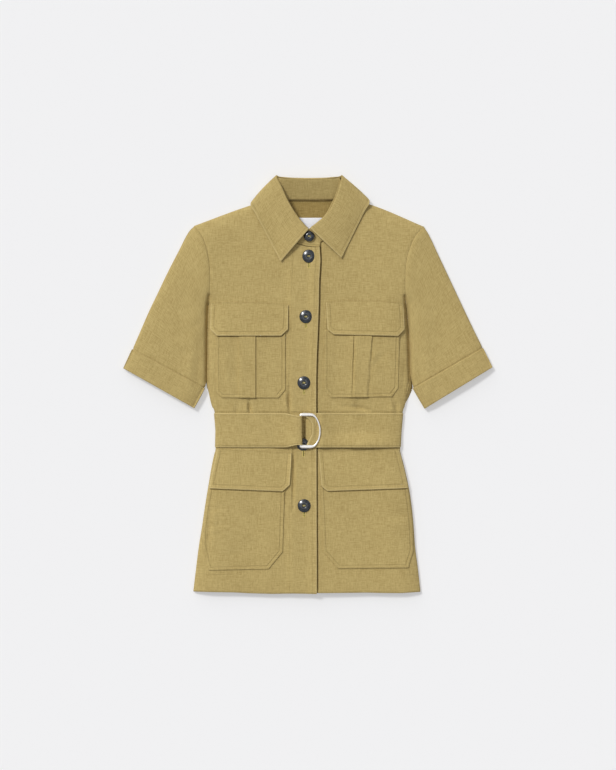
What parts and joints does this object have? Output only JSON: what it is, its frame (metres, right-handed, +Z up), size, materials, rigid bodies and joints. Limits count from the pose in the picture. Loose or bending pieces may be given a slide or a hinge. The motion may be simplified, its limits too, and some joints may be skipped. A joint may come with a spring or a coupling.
{
  "type": "safari jacket",
  "caption": "Short-sleeved safari jacket laid flat: pointed collar, buttoned front, pleated chest pockets, flapped hip pockets and a belt passed through a metal D-ring.",
  "frame": {"origin": "centre of the laid-out jacket's bounding box, on the surface that it rests on", "axes": "+Y from hem to collar, +X to the wearer's left, +Z up off the surface, out of the jacket's front"},
  "size_m": [0.6274, 0.709, 0.0234],
  "materials": {
    "cloth": "matte, fine slubbed plain weave, khaki",
    "cloth_inside": "matte plain weave, inside of the same khaki cloth",
    "tape": "white woven tape, plain",
    "button": "dark mottled horn-like, semi-gloss",
    "ring_metal": "polished pale metal"
  },
  "bodies": {
    "root": {"back": "cloth_inside", "front_right": "cloth", "front_left": "cloth", "sleeve_right": "cloth", "sleeve_left": "cloth", "cuff_right": "cloth", "cuff_left": "cloth", "collar": "cloth", "collar_stand": "cloth_inside", "label": "tape", "chest_pocket_right": "cloth", "chest_pocket_left": "cloth", "chest_flap_right": "cloth", "chest_flap_left": "cloth", "hip_pocket_right": "cloth", "hip_pocket_left": "cloth", "hip_flap_right": "cloth", "hip_flap_left": "cloth", "belt": "cloth", "d_ring": "ring_metal", "button_1": "button", "button_2": "button", "button_3": "button", "button_4": "button", "button_5": "button", "button_6": "button"}
  },
  "joints": []
}
